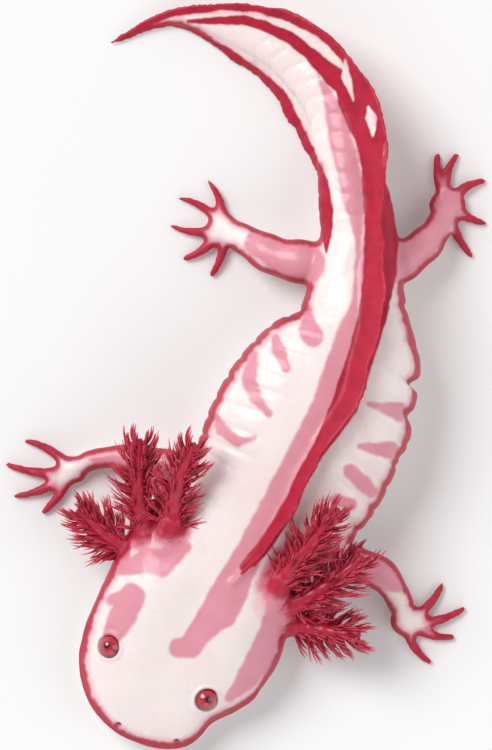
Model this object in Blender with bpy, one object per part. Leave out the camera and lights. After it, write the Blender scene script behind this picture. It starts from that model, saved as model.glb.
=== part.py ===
"""A life-size axolotl lying on its belly, tail swept round to its right, as a museum model.

It faces -Y. Its own left side is on +X. The origin is on the floor under the middle of its
outline. Sizes below are millimetres, and each mesh is made in metres.
"""

import math
import random
from collections import namedtuple

import bmesh
import bpy
from mathutils import Matrix, Vector

MM = 0.001
CENTRE = (0.21, 0.07)  # moves the tables' plan so that the outline's middle is at the origin
GAP = 0.3
UP = Vector((0, 0, 1))

# One station of the body: its place in plan, the height of its widest line, the half width, how far
# it reaches above and below that line, how square it is, the roll of the back towards the left, how
# far the back fin and the belly fin reach from the middle, and how far the back fin leans for each
# millimetre that it rises
Station = namedtuple("Station", "x y level half top under square roll back belly lean")
BODY = {
    "snout": Station(-27.0, -98.2, 6.2, 24.6, 5.6, 3.9, 2.3, 0, 0, 0, 0),
    "eyes": Station(-22.0, -81.6, 7.0, 25.0, 9.4, 5.4, 2.3, 0, 0, 0, 0),
    "cheeks": Station(-15.6, -67.4, 8.4, 25.6, 12.4, 7.0, 2.3, 0, 0, 0, 0),
    "gills": Station(-10.3, -54.8, 9.6, 24.4, 13.6, 8.6, 2.3, 0, 13.6, 0, 0),
    "neck": Station(-1.6, -43.2, 10.6, 21.4, 14.4, 10.2, 2.3, 1, 17.0, 0, 0.5),
    "chest": Station(8.2, -31.4, 12.0, 25.2, 16.0, 12.3, 2.3, 3, 20.6, 0, 0.7),
    "belly": Station(18.4, -13.4, 13.0, 27.0, 17.6, 13.5, 2.4, 4, 22.6, 0, 0.8),
    "loin": Station(26.4, 2.4, 12.6, 23.6, 16.4, 13.0, 2.4, 4, 22.0, 0, 0.8),
    "flank": Station(30.2, 13.8, 12.0, 17.6, 14.6, 12.2, 2.3, 5, 21.0, 0, 0.8),
    "hips": Station(30.0, 27.8, 11.4, 12.6, 11.6, 11.2, 2.2, 8, 19.0, 0, 0.6),
    "vent": Station(30.3, 38.6, 11.4, 10.2, 10.6, 10.2, 2.1, 16, 17.8, 11.0, 0.3),
    "tail_root": Station(29.0, 47.2, 11.2, 9.8, 9.8, 9.2, 2.0, 28, 17.8, 12.8, 0.1),
    "tail_third": Station(25.7, 61.0, 11.0, 6.8, 8.2, 7.8, 2.0, 39, 19.6, 15.2, 0),
    "tail_half": Station(22.2, 71.9, 9.8, 5.2, 7.2, 6.8, 2.0, 46, 18.8, 14.8, 0),
    "tail_bend": Station(12.2, 84.0, 8.0, 3.9, 5.6, 5.2, 2.0, 50, 16.4, 12.5, 0),
    "tail_slim": Station(0.0, 91.3, 5.7, 2.8, 4.0, 3.7, 2.0, 52, 12.6, 9.3, 0),
    "tail_low": Station(-10.4, 95.2, 3.6, 2.0, 2.6, 2.4, 2.0, 52, 7.4, 5.6, 0),
    "tail_end": Station(-21.6, 96.2, 1.9, 1.3, 1.6, 1.5, 2.0, 50, 3.2, 2.6, 0),
    "tip": Station(-37.3, 89.6, 0.8, 0.5, 0.6, 0.6, 2.0, 46, 0.9, 0.8, 0),
}
# How much further the left side reaches than the right one, by place, where the animal bends
LEFT_SIDE = [
    (0, 0), (3, -1.6), (6, -3.4), (9, -4.4), (12, -3.4), (15, -2.1), (20, -0.8), (27, 0.1),
    (34, 1.0), (44, 0), (70, 0), (78, -0.9), (84, -0.9), (96, -1.8), (106, -1.6), (114, -2.2),
    (122, -1.3), (129, -3.4), (136, -1.9), (144, 0), (256, 0),
]
SNOUT_WIDTH_RUN = 27.0  # how far back the muzzle keeps widening
SNOUT_HEIGHT_RUN = 9.0  # how far back it keeps deepening
SNOUT_BLUNT = 2.35
SNOUT_PUSH = 1.8  # how much further forward the very tip reaches
PUSH_RUN = 9.0

# Where the body is cut into its named lengths, in millimetres from the snout
CUTS = {
    "head": (0.25, 47.0),
    "neck": (47.0, 61.5),
    "chest": (61.5, 84.0),
    "belly": (84.0, 108.0),
    "pelvis": (108.0, 145.0),
    "tail_1": (145.0, 167.0),
    "tail_2": (167.0, 189.0),
    "tail_3": (189.0, 211.0),
    "tail_4": (211.0, 254.0),
}
RING_STEP = 4.0
HEAD_RUN = 24.0  # the muzzle's rings lie closer together over this length
TRUNK_SIDES = 28
HEAD_SIDES = 36
TAIL_SIDES = 16

BACK_FIN = {
    "back_fin_1": (56.0, 84.0),
    "back_fin_2": (84.0, 116.0),
    "back_fin_3": (116.0, 145.0),
    "tail_fin_upper_1": (145.0, 167.0),
    "tail_fin_upper_2": (167.0, 189.0),
    "tail_fin_upper_3": (189.0, 211.0),
    "tail_fin_upper_4": (211.0, 240.0),
}
BELLY_FIN = {
    "tail_fin_lower_1": (150.0, 167.0),
    "tail_fin_lower_2": (167.0, 189.0),
    "tail_fin_lower_3": (189.0, 211.0),
    "tail_fin_lower_4": (211.0, 240.0),
}
# How far to the left of the middle line the back fin grows, by place
FIN_SIDE = [
    (41, 5.0), (52, 6.5), (61, 6.6), (68, 4.6), (75, 2.6), (82, 1.2), (91, 1.2), (99, 1.4),
    (107, 2.0), (118, 0.6), (130, 0), (256, 0),
]
FIN_ROOT = 1.5  # half the fin's thickness where it grows out
FIN_EDGE = 0.55  # half its thickness at the rim

EYES = {"eye_right": (-37.0, -73.2), "eye_left": (-10.6, -87.4)}
EYE_RADIUS = 3.6
EYE_DEPTH = 1.9  # how far the eye's centre lies under the skin
EYE_RIM = 0.55

MOUTH_CORNER = 25.5  # from the snout, back along the body
MOUTH_LIFT = 1.6  # how far the corner turns up
LIP = 0.95
NOSTRIL = {"back": 2.6, "side": 8.2, "rise": 3.4, "radius": 0.85}

# Legs: points (x, y, z, radius) from inside the body to the wrist or ankle
Leg = namedtuple("Leg", "names path joint foot foot_size digits")
LEGS = {
    "fore_right": Leg(
        ("upper_arm_right", "forearm_right", "hand_right"),
        [(-8.4, -31.1, 9.5, 5.4), (-15.7, -26.9, 9.4, 5.0), (-23.2, -23.8, 8.4, 4.2),
         (-32.7, -22.2, 5.8, 3.5), (-41.6, -23.0, 3.3, 2.8), (-47.0, -25.7, 2.1, 2.4)],
        0.44, (-47.2, -25.8), (4.6, 4.0),
        [(-60.5, -17.6, 1.5), (-65.6, -23.8, -1.6), (-63.5, -32.9, -1.6), (-55.6, -37.8, -1.0)],
    ),
    "fore_left": Leg(
        ("upper_arm_left", "forearm_left", "hand_left"),
        [(14.6, -47.0, 9.5, 5.6), (24.0, -50.4, 9.4, 5.2), (31.6, -51.6, 8.6, 4.8),
         (37.4, -54.6, 6.6, 4.4), (41.2, -60.4, 3.9, 3.6), (43.6, -66.4, 2.3, 2.8)],
        0.48, (43.6, -66.6), (4.8, 4.4),
        [(53.5, -56.0, 1.4), (59.9, -62.6, 1.8), (57.0, -70.9, 1.6), (50.6, -78.2, 2.0)],
    ),
    "hind_right": Leg(
        ("thigh_right", "shank_right", "foot_right"),
        [(26.0, 29.5, 10.0, 6.4), (16.0, 30.5, 9.6, 6.0), (8.0, 32.0, 8.4, 5.4),
         (1.5, 35.6, 6.0, 4.6), (-3.4, 38.4, 3.6, 3.6), (-6.5, 39.7, 2.3, 2.8)],
        0.42, (-6.3, 39.8), (4.8, 4.4),
        [(-10.8, 53.2, 1.6), (-18.9, 48.1, 1.8), (-21.1, 40.8, -1.6), (-17.4, 31.3, -1.4),
         (-10.0, 26.3, -1.6)],
    ),
    "hind_left": Leg(
        ("thigh_left", "shank_left", "foot_left"),
        [(32.5, 28.0, 10.0, 6.2), (41.0, 30.4, 9.8, 5.8), (47.0, 34.0, 8.6, 5.0),
         (51.0, 38.4, 5.8, 4.2), (53.6, 42.8, 3.5, 3.6), (54.6, 45.6, 2.3, 2.9)],
        0.42, (54.6, 45.9), (5.2, 4.8),
        [(52.1, 60.6, -1.4), (57.6, 60.4, -1.8), (65.3, 52.7, -1.6), (65.2, 41.0, 0.6),
         (61.6, 31.6, 1.2)],
    ),
}
LEG_SIDES = 12
DIGIT_RADII = (1.45, 1.35, 1.3, 1.2, 1.05, 0.6)
DIGIT_SIDES = 6
FOOT_THICK = 2.3
FLOOR_SINK = 0.35  # how far the soles are flattened against the floor

# Gills: root, middle and tip of each stalk, and how long its filaments grow
Gill = namedtuple("Gill", "root bend tip filament")
GILLS = {
    "gill_right_front": Gill((-26.4, -51.0, 9.5), (-37.5, -43.6, 12.5), (-45.2, -36.6, 17.0), 9.0),
    "gill_right_middle": Gill((-25.0, -49.0, 13.5), (-30.4, -33.6, 19.5), (-28.4, -17.6, 26.0), 9.5),
    "gill_right_rear": Gill((-21.4, -48.0, 17.0), (-20.2, -32.0, 27.0), (-14.0, -18.6, 34.0), 8.5),
    "gill_left_front": Gill((6.6, -66.6, 9.5), (20.0, -68.8, 12.0), (30.4, -70.2, 16.5), 9.0),
    "gill_left_middle": Gill((6.4, -64.0, 13.5), (19.4, -60.6, 19.5), (31.0, -49.0, 25.5), 9.5),
    "gill_left_rear": Gill((5.0, -61.6, 17.0), (13.2, -50.6, 27.0), (24.6, -36.2, 34.0), 9.0),
}
STALK_RADII = (3.4, 3.0, 2.6, 2.1, 1.6, 1.0)
STALK_SIDES = 8
FILAMENT_PAIRS = 11
FILAMENT_RADII = (0.75, 0.6, 0.35)
SEED = 7

COLOURS = {
    "skin": ((0.93, 0.78, 0.76), 0.35),
    "fin": ((0.72, 0.16, 0.25), 0.35),
    "gill": ((0.55, 0.03, 0.08), 0.4),
    "eye": ((0.30, 0.01, 0.03), 0.08),
}


def through(values, knots, at):
    """A smooth curve through values at knots, read at one place: cubic pieces, kept to the ends."""
    at = min(max(at, knots[0]), knots[-1])
    i = next(k for k in range(len(knots) - 1) if at <= knots[k + 1])

    def slope(k):
        low, high = max(k - 1, 0), min(k + 1, len(knots) - 1)
        return (values[high] - values[low]) / (knots[high] - knots[low])

    span = knots[i + 1] - knots[i]
    u = (at - knots[i]) / span
    a, b = values[i], values[i + 1]
    m, n = slope(i) * span, slope(i + 1) * span
    return (
        (2 * u**3 - 3 * u**2 + 1) * a
        + (u**3 - 2 * u**2 + u) * m
        + (3 * u**2 - 2 * u**3) * b
        + (u**3 - u**2) * n
    )


def even_knots(points):
    """Lengths along a line of points."""
    knots = [0.0]
    for a, b in zip(points, points[1:]):
        knots.append(knots[-1] + (Vector(b) - Vector(a)).length)
    return knots


ROWS = list(BODY.values())
KNOTS = even_knots([(r.x, r.y) for r in ROWS])


def smooth_step(value):
    value = min(max(value, 0.0), 1.0)
    return value * value * (3 - 2 * value)


def row_at(s):
    """The table's values at s millimetres from the snout."""
    row = Station(*[through([r[k] for r in ROWS], KNOTS, s) for k in range(len(ROWS[0]))])
    ahead = Vector((ROWS[0].x - ROWS[1].x, ROWS[0].y - ROWS[1].y)).normalized()
    push = SNOUT_PUSH * min(max(1 - s / PUSH_RUN, 0), 1) ** 2
    return row._replace(x=row.x + push * ahead.x, y=row.y + push * ahead.y)


def body_at(s):
    """The body's station at s, with the muzzle rounded off."""
    row = row_at(s)
    wide = 1 - (1 - min(s / SNOUT_WIDTH_RUN, 1)) ** SNOUT_BLUNT
    deep = 1 - (1 - min(s / SNOUT_HEIGHT_RUN, 1)) ** 2
    return row._replace(
        half=row.half * wide ** (1 / SNOUT_BLUNT),
        top=row.top * math.sqrt(deep),
        under=row.under * math.sqrt(deep),
    )


def axes_at(s):
    """The middle of the body at s, its left and its back as directions."""
    step = 0.5
    row = row_at(s)
    ahead, behind = row_at(s + step), row_at(s - step)
    along = Vector((ahead.x - behind.x, ahead.y - behind.y, 0)).normalized()
    left = Vector((along.y, -along.x, 0))
    roll = math.radians(row.roll)
    middle = Vector((row.x, row.y, row.level))
    return middle, left * math.cos(roll) - UP * math.sin(roll), UP * math.cos(roll) + left * math.sin(roll)


def place(s, side, rise):
    middle, left, back = axes_at(s)
    return middle + left * side + back * rise


def left_share(s, half):
    """How wide the left side is at s, as a share of the right one."""
    places, reaches = zip(*LEFT_SIDE)
    return 1 + through(reaches, places, s) / max(half, 1)


def outline(s, sides, grow=0.0):
    """The body's cross-section at s, as (side, rise) pairs, from its left over its back."""
    row = body_at(s)
    left = left_share(s, row.half)
    pairs = []
    for k in range(sides):
        angle = math.tau * k / sides
        c, n = math.cos(angle), math.sin(angle)
        half = row.half * (left if c > 0 else 1) + grow
        side = half * math.copysign(abs(c) ** (2 / row.square), c)
        reach = row.top if n > 0 else row.under
        pairs.append((side, (reach + grow) * math.copysign(abs(n) ** (2 / row.square), n)))
    return pairs


def body_ring(s, sides, grow=0.0, floor=0.0):
    """That cross-section in place, pressed flat where it would pass through the floor."""
    ring = [place(s, side, rise) for side, rise in outline(s, sides, grow)]
    return [Vector((p.x, p.y, max(p.z, floor))) for p in ring]


def height_over(s, sides, side, grow, below=False):
    """How far the faceted section at s reaches above its middle, or below it, at this side."""
    pairs = outline(s, sides, grow)
    best = 0.0
    for (x0, z0), (x1, z1) in zip(pairs, pairs[1:] + pairs[:1]):
        if min(x0, x1) <= side <= max(x0, x1) and abs(x1 - x0) > 1e-9:
            rise = z0 + (z1 - z0) * (side - x0) / (x1 - x0)
            best = min(best, rise) if below else max(best, rise)
    return best


def steps(low, high, step=RING_STEP):
    count = max(2, round((high - low) / step))
    return [low + (high - low) * k / count for k in range(count + 1)]


def next_ring(bm, ring, points):
    """Extrudes a closed ring of vertices to new points and gives the new ring in the same order."""
    edges = [bm.edges.get((a, b)) for a, b in zip(ring, ring[1:] + ring[:1])]
    made = bmesh.ops.extrude_edge_only(bm, edges=edges)["geom"]
    old = set(ring)
    grown = {}
    for vert in (g for g in made if isinstance(g, bmesh.types.BMVert)):
        for edge in vert.link_edges:
            if edge.other_vert(vert) in old:
                grown[edge.other_vert(vert)] = vert
    for vert, point in zip(ring, points):
        grown[vert].co = point
    return [grown[vert] for vert in ring]


def split_alike(bm, rings, half):
    """Cuts each four-sided face of a thin fin across, the same way on its two broad sides."""
    for low, high in zip(rings, rings[1:]):
        for k in range(len(low)):
            following = (k + 1) % len(low)
            pair = (low[k], high[following]) if k < half else (low[following], high[k])
            for face in set(pair[0].link_faces) & set(pair[1].link_faces):
                bmesh.utils.face_split(face, *pair)


def loft(rings, alike=0):
    """A closed mesh through rings of points, with flat ends; alike is where a fin's far side starts."""
    bm = bmesh.new()
    made = [[bm.verts.new(p) for p in rings[0]]]
    for a, b in zip(made[0], made[0][1:] + made[0][:1]):
        bm.edges.new((a, b))
    for points in rings[1:]:
        made.append(next_ring(bm, made[-1], points))
    if alike:
        split_alike(bm, made, alike)
    bm.faces.new(made[0])
    bm.faces.new(made[-1])
    bmesh.ops.recalc_face_normals(bm, faces=bm.faces)
    return bm


def material(slot):
    found = bpy.data.materials.get(slot)
    if found:
        return found
    made = bpy.data.materials.new(slot)
    made.use_nodes = True
    shader = made.node_tree.nodes["Principled BSDF"]
    colour, roughness = COLOURS[slot]
    shader.inputs["Base Color"].default_value = (*colour, 1)
    shader.inputs["Roughness"].default_value = roughness
    return made


def add(name, bm, slot="skin"):
    """Makes an object of a mesh that is in millimetres."""
    bm.transform(Matrix.Scale(MM, 4) @ Matrix.Translation((*CENTRE, 0)))
    mesh = bpy.data.meshes.new(name)
    bm.to_mesh(mesh)
    bm.free()
    obj = bpy.data.objects.new(name, mesh)
    bpy.context.scene.collection.objects.link(obj)
    obj.data.materials.append(material(slot))
    return obj


def keep_largest(obj):
    """Leaves only the largest closed surface of an object's mesh."""
    bm = bmesh.new()
    bm.from_mesh(obj.data)
    left = set(bm.verts)
    shells = []
    while left:
        front = [left.pop()]
        shell = set(front)
        while front:
            for edge in front.pop().link_edges:
                for vert in edge.verts:
                    if vert in left:
                        left.remove(vert)
                        shell.add(vert)
                        front.append(vert)
        shells.append(shell)
    shells.sort(key=lambda shell: sum(face.calc_area() for vert in shell for face in vert.link_faces))
    loose = [vert for shell in shells[:-1] for vert in shell]
    bmesh.ops.delete(bm, geom=loose, context="VERTS")
    bm.to_mesh(obj.data)
    bm.free()


def combine(obj, others, operation):
    """Joins closed meshes to an object, or cuts them from it, in one Boolean."""
    tools = bpy.data.collections.new(obj.name + "_tools")
    bpy.context.scene.collection.children.link(tools)
    for other in others:
        bpy.context.scene.collection.objects.unlink(other)
        tools.objects.link(other)
    modifier = obj.modifiers.new("join", "BOOLEAN")
    modifier.operation = operation
    modifier.operand_type = "COLLECTION"
    modifier.collection = tools
    modifier.solver = "EXACT"
    graph = bpy.context.evaluated_depsgraph_get()
    mesh = bpy.data.meshes.new_from_object(obj.evaluated_get(graph))
    obj.modifiers.clear()
    old, obj.data = obj.data, mesh
    bpy.data.meshes.remove(old)
    for other in others:
        bpy.data.objects.remove(other)
    bpy.data.collections.remove(tools)
    keep_largest(obj)


def smooth_shade(obj, sharp=40):
    obj.data.shade_smooth()
    obj.data.set_sharp_from_angle(angle=math.radians(sharp))


def directions(points):
    """The way along a line at each of its points."""
    last = len(points) - 1
    return [(points[min(k + 1, last)] - points[max(k - 1, 0)]).normalized() for k in range(last + 1)]


def tube(points, radii, sides, flat=1.0, ways=None):
    """A tapering tube along points, each ring square to the line; flat squeezes it in height."""
    rings = []
    for k, (point, along) in enumerate(zip(points, ways or directions(points))):
        side = along.cross(UP).normalized()
        rise = side.cross(along)
        rings.append(
            [
                point
                + side * radii[k] * math.cos(math.tau * j / sides)
                + rise * radii[k] * flat * math.sin(math.tau * j / sides)
                for j in range(sides)
            ]
        )
    return loft(rings)


def ball(centre, size, segments=12, rings=8):
    bm = bmesh.new()
    bmesh.ops.create_uvsphere(bm, u_segments=segments, v_segments=rings, radius=1)
    bm.transform(Matrix.Translation(centre) @ Matrix.Diagonal((*size, 1)))
    return bm


def bezier(a, b, c, u):
    return a * (1 - u) ** 2 + b * 2 * u * (1 - u) + c * u**2


def floor_block():
    """Everything below the floor, which cuts soles flat."""
    bm = bmesh.new()
    bmesh.ops.create_cube(bm, size=1)
    bm.transform(Matrix.Translation((0, 0, -10)) @ Matrix.Diagonal((300, 300, 20, 1)))
    return add("floor_block", bm)


def body_cutter(low, high):
    """The whole body between two stations, grown by the gap that its neighbours keep."""
    rings = [body_ring(s, TRUNK_SIDES, GAP, -GAP) for s in steps(low, high, 2.0)]
    return add("body_cutter", loft(rings))


def trunk():
    """Neck, chest, belly, pelvis and the core of the tail, each closed at its cuts."""
    for name, (low, high) in CUTS.items():
        if name == "head":
            continue
        sides = TAIL_SIDES if name.startswith("tail") else TRUNK_SIDES
        last = high if name == "tail_4" else high - GAP
        smooth_shade(add(name, loft([body_ring(s, sides) for s in steps(low, last)])))


def fin_ring(s, sides, belly):
    """A fin's section: its root lies a gap off the body, and it thins to its rim."""
    row = body_at(s)
    sign = -1 if belly else 1
    reach = row.belly if belly else row.back
    lean = 0 if belly else row.lean
    root = min(FIN_ROOT, 0.55 * row.half)
    places, reaches = zip(*FIN_SIDE)
    shift = 0 if belly else through(reaches, places, s)
    tops = [abs(height_over(s, sides, shift + x, 0, belly)) + GAP for x in (-root, 0, root)]
    rim = max(reach, tops[1] + 0.5)
    middle = (tops[1] + rim) / 2
    waist = (root + FIN_EDGE) / 2
    slant = [lean * (h - tops[1]) for h in (middle, rim)]
    pairs = [
        (root, tops[2]), (waist + slant[0], middle), (FIN_EDGE + slant[1], rim),
        (-FIN_EDGE + slant[1], rim), (-waist + slant[0], middle), (-root, tops[0]), (0, tops[1]),
    ]
    ring = [place(s, shift + side, sign * rise) for side, rise in pairs]
    return [Vector((p.x, p.y, max(p.z, 0.0))) for p in ring]


def fins():
    for table, belly in ((BACK_FIN, False), (BELLY_FIN, True)):
        for name, (low, high) in table.items():
            sides = TAIL_SIDES if name.startswith("tail") else TRUNK_SIDES
            rings = [fin_ring(s, sides, belly) for s in steps(low, high - GAP)]
            add(name, loft(rings, alike=len(rings[0]) // 2), "fin")


def mouth_line():
    """Points round the muzzle where the lips meet, from the right corner to the left one."""
    half = [MOUTH_CORNER * (k / 12) ** 1.6 + 0.35 for k in range(12, 0, -1)]
    line = []
    for sign in (-1, 1):
        side = []
        for s in half:
            row = body_at(s)
            lift = MOUTH_LIFT * smooth_step((s - 12) / (MOUTH_CORNER - 12))
            angle = math.asin(min((lift / row.top) ** (row.square / 2), 1)) if lift > 0 else 0
            half_width = row.half * (left_share(s, row.half) if sign > 0 else 1)
            reach = half_width * math.cos(angle) ** (2 / row.square)
            side.append(place(s, sign * reach, lift))
        line.append(side)
    return line[0] + line[1][::-1]


def frames_of(line):
    """Each point of a line with its outward and upward directions."""
    for k, point in enumerate(line):
        along = (line[min(k + 1, len(line) - 1)] - line[max(k - 1, 0)]).normalized()
        out = along.cross(UP).normalized()
        yield point, out, out.cross(along).normalized()


def lip_tube(line, rise):
    rings = []
    last = len(line) - 1
    for k, (point, out, up) in enumerate(frames_of(line)):
        size = LIP * (0.45 + 0.55 * smooth_step(min(k, last - k) / 4))
        centre = point - out * 0.45 * size + up * rise * size
        rings.append(
            [
                centre + out * size * math.cos(math.tau * j / 6) + up * size * math.sin(math.tau * j / 6)
                for j in range(6)
            ]
        )
    return add("lip", loft(rings))


def mouth_groove(line):
    rings = []
    for point, out, up in frames_of(line):
        rings.append([point + out * 1.4 + up * 0.75, point - out * 1.1, point + out * 1.4 - up * 0.75])
    return add("groove", loft(rings))


def surface_at(x, y):
    """The point of the head's upper surface over a place in plan, and its outward direction."""
    spot = Vector((x, y, 0))

    def ahead_of(s):
        middle, left, _ = axes_at(s)
        return abs((spot - middle).dot(left.cross(UP)))

    s = min(steps(4, 46, 0.25), key=ahead_of)
    middle, left, _ = axes_at(s)
    row = body_at(s)
    side = (spot - middle).dot(left)

    left_half = row.half * left_share(s, row.half)

    def top(at):
        half = left_half if at > 0 else row.half
        return row.top * (1 - abs(at / half) ** row.square) ** (1 / row.square)

    slope = top(side + 0.5) - top(side - 0.5)
    return place(s, side, top(side)), (UP - left * slope).normalized()


def ring_about(centre, out, radius, size, spokes=14, sides=6):
    """A ring with a round section, lying square to the direction out."""
    turn = UP.rotation_difference(out)
    rings = []
    for k in range(spokes):
        angle = math.tau * k / spokes
        spoke = turn @ Vector((math.cos(angle), math.sin(angle), 0))
        middle = centre + spoke * radius
        rings.append(
            [
                middle + (spoke * math.cos(turned) + out * math.sin(turned)) * size
                for turned in (math.tau * j / sides for j in range(sides))
            ]
        )
    bm = bmesh.new()
    first = [bm.verts.new(p) for p in rings[0]]
    for a, b in zip(first, first[1:] + first[:1]):
        bm.edges.new((a, b))
    last = first
    for points in rings[1:]:
        last = next_ring(bm, last, points)
    edges = [bm.edges.get((a, b)) for ring in (first, last) for a, b in zip(ring, ring[1:] + ring[:1])]
    bmesh.ops.bridge_loops(bm, edges=edges)
    bmesh.ops.recalc_face_normals(bm, faces=bm.faces)
    return bm


def eye_pieces():
    """Makes the two eyes, and gives their rims and their sockets."""
    rims, sockets = [], []
    for name, (x, y) in EYES.items():
        point, out = surface_at(x, y)
        centre = point - out * EYE_DEPTH
        smooth_shade(add(name, ball(centre, [EYE_RADIUS] * 3, 16, 10), "eye"))
        showing = math.sqrt(EYE_RADIUS**2 - EYE_DEPTH**2)
        rims.append(add("rim", ring_about(point - out * 0.1, out, showing + 0.4, EYE_RIM)))
        sockets.append(add("socket", ball(centre, [EYE_RADIUS + GAP] * 3, 16, 10)))
    return rims, sockets


def nostrils():
    spots = [place(NOSTRIL["back"], sign * NOSTRIL["side"], NOSTRIL["rise"]) for sign in (-1, 1)]
    return [add("nostril", ball(spot, [NOSTRIL["radius"]] * 3, 8, 6)) for spot in spots]


def head():
    """The head with its lips, mouth line, nostrils and eye sockets."""
    low, high = CUTS["head"]
    places = [low + HEAD_RUN * (k / 10) ** 2 for k in range(10)]
    places += steps(low + HEAD_RUN, high - GAP)
    skull = add("head", loft([body_ring(s, HEAD_SIDES) for s in places]))
    line = mouth_line()
    rims, sockets = eye_pieces()
    combine(skull, [lip_tube(line, 1.0), lip_tube(line, -1.0), *rims], "UNION")
    combine(skull, [mouth_groove(line), floor_block(), *sockets, *nostrils()], "DIFFERENCE")
    smooth_shade(skull)


def leg_line(leg, u):
    """Point and radius along a leg, u from 0 in the body to 1 at the wrist."""
    knots = even_knots([p[:3] for p in leg.path])
    values = [through([p[k] for p in leg.path], knots, u * knots[-1]) for k in range(4)]
    return Vector(values[:3]), values[3]


def leg_piece(leg, low, high, count):
    places = [low + (high - low) * k / count for k in range(count + 1)]
    line = [leg_line(leg, u) for u in places]
    ways = [(leg_line(leg, u + 0.02)[0] - leg_line(leg, u - 0.02)[0]).normalized() for u in places]
    return tube([p for p, _ in line], [r for _, r in line], LEG_SIDES, ways=ways)


def digit(leg, tip_x, tip_y, bow):
    """One finger or toe from the middle of the foot to its tip, bowed sideways in plan."""
    start = Vector((*leg.foot, FOOT_THICK * 0.6))
    end = Vector((tip_x, tip_y, 0.75))
    out = (end - start).normalized()
    start = start + out * 1.6
    bend = (start + end) / 2 + out.cross(UP) * bow * 2 + UP * 0.8
    last = len(DIGIT_RADII) - 1
    points = [bezier(start, bend, end, k / last) for k in range(last + 1)]
    return add("digit", tube(points, DIGIT_RADII, DIGIT_SIDES, 0.9))


def legs():
    wrist = 0.86
    for leg in LEGS.values():
        upper, lower, foot = leg.names
        length = even_knots([p[:3] for p in leg.path])[-1]
        gap = GAP / length
        root = add(upper, leg_piece(leg, 0, leg.joint - gap, 6))
        combine(root, [body_cutter(44, 156)], "DIFFERENCE")
        smooth_shade(root)
        smooth_shade(add(lower, leg_piece(leg, leg.joint, wrist - gap, 6)))
        sole = add(foot, leg_piece(leg, wrist, 1.0, 2))
        centre = Vector((*leg.foot, FOOT_THICK - FLOOR_SINK))
        pieces = [add("palm", ball(centre, (leg.foot_size[0], leg.foot_size[1], FOOT_THICK), 14, 8))]
        pieces += [digit(leg, *spot) for spot in leg.digits]
        combine(sole, pieces, "UNION")
        combine(sole, [floor_block()], "DIFFERENCE")
        smooth_shade(sole)


def filament(root, out, along, length, droop):
    """One gill filament: leaves the stalk sideways, sweeps towards its tip and hangs a little."""
    end = root + out * length * 0.8 + along * length * 0.55 - UP * droop
    bend = root + out * length * 0.6 + along * length * 0.1
    points = [bezier(root, bend, end, u) for u in (0, 0.5, 1)]
    return add("filament", tube(points, FILAMENT_RADII, 4))


def gills():
    draw = random.Random(SEED)
    for name, gill in GILLS.items():
        root, bend, tip = (Vector(p) for p in (gill.root, gill.bend, gill.tip))
        last = len(STALK_RADII) - 1
        points = [bezier(root, bend, tip, k / last) for k in range(last + 1)]
        stalk = add(name, tube(points, STALK_RADII, STALK_SIDES), "gill")
        pieces = []
        for k in range(FILAMENT_PAIRS):
            u = 0.34 + 0.62 * k / (FILAMENT_PAIRS - 1)
            spot = bezier(root, bend, tip, u)
            along = (bezier(root, bend, tip, u + 0.02) - spot).normalized()
            side = along.cross(UP).normalized()
            for sign in (-1, 1):
                size = gill.filament * (0.55 + 0.45 * math.sin(math.pi * (0.2 + 0.75 * u)))
                size *= 1 + 0.12 * draw.uniform(-1, 1)
                out = (side * sign - UP * 0.12 + UP * 0.2 * draw.uniform(-1, 1)).normalized()
                pieces.append(filament(spot, out, along, size, 0.12 * size))
        combine(stalk, pieces, "UNION")
        combine(stalk, [body_cutter(20, 84)], "DIFFERENCE")
        smooth_shade(stalk)


def main():
    for obj in list(bpy.data.objects):
        bpy.data.objects.remove(obj)
    trunk()
    fins()
    head()
    legs()
    gills()


main()
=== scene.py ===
import random
from math import asin, copysign, cos, hypot, pi, radians, sin, sqrt, tau

import bmesh
import bpy
import numpy as np
from mathutils import Matrix, Vector, kdtree, noise


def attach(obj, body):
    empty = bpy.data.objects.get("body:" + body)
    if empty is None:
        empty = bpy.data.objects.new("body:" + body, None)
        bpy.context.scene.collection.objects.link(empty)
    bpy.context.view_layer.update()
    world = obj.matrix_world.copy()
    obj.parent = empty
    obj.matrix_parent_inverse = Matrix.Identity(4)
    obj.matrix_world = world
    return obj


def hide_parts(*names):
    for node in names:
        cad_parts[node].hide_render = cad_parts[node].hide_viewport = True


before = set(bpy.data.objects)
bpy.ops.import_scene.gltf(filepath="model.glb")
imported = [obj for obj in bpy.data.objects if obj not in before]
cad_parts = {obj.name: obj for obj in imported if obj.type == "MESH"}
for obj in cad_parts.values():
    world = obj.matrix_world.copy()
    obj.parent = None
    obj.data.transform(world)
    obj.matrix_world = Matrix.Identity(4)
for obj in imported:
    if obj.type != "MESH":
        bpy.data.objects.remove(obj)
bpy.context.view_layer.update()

mm = 0.001
up = Vector((0, 0, 1))

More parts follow.
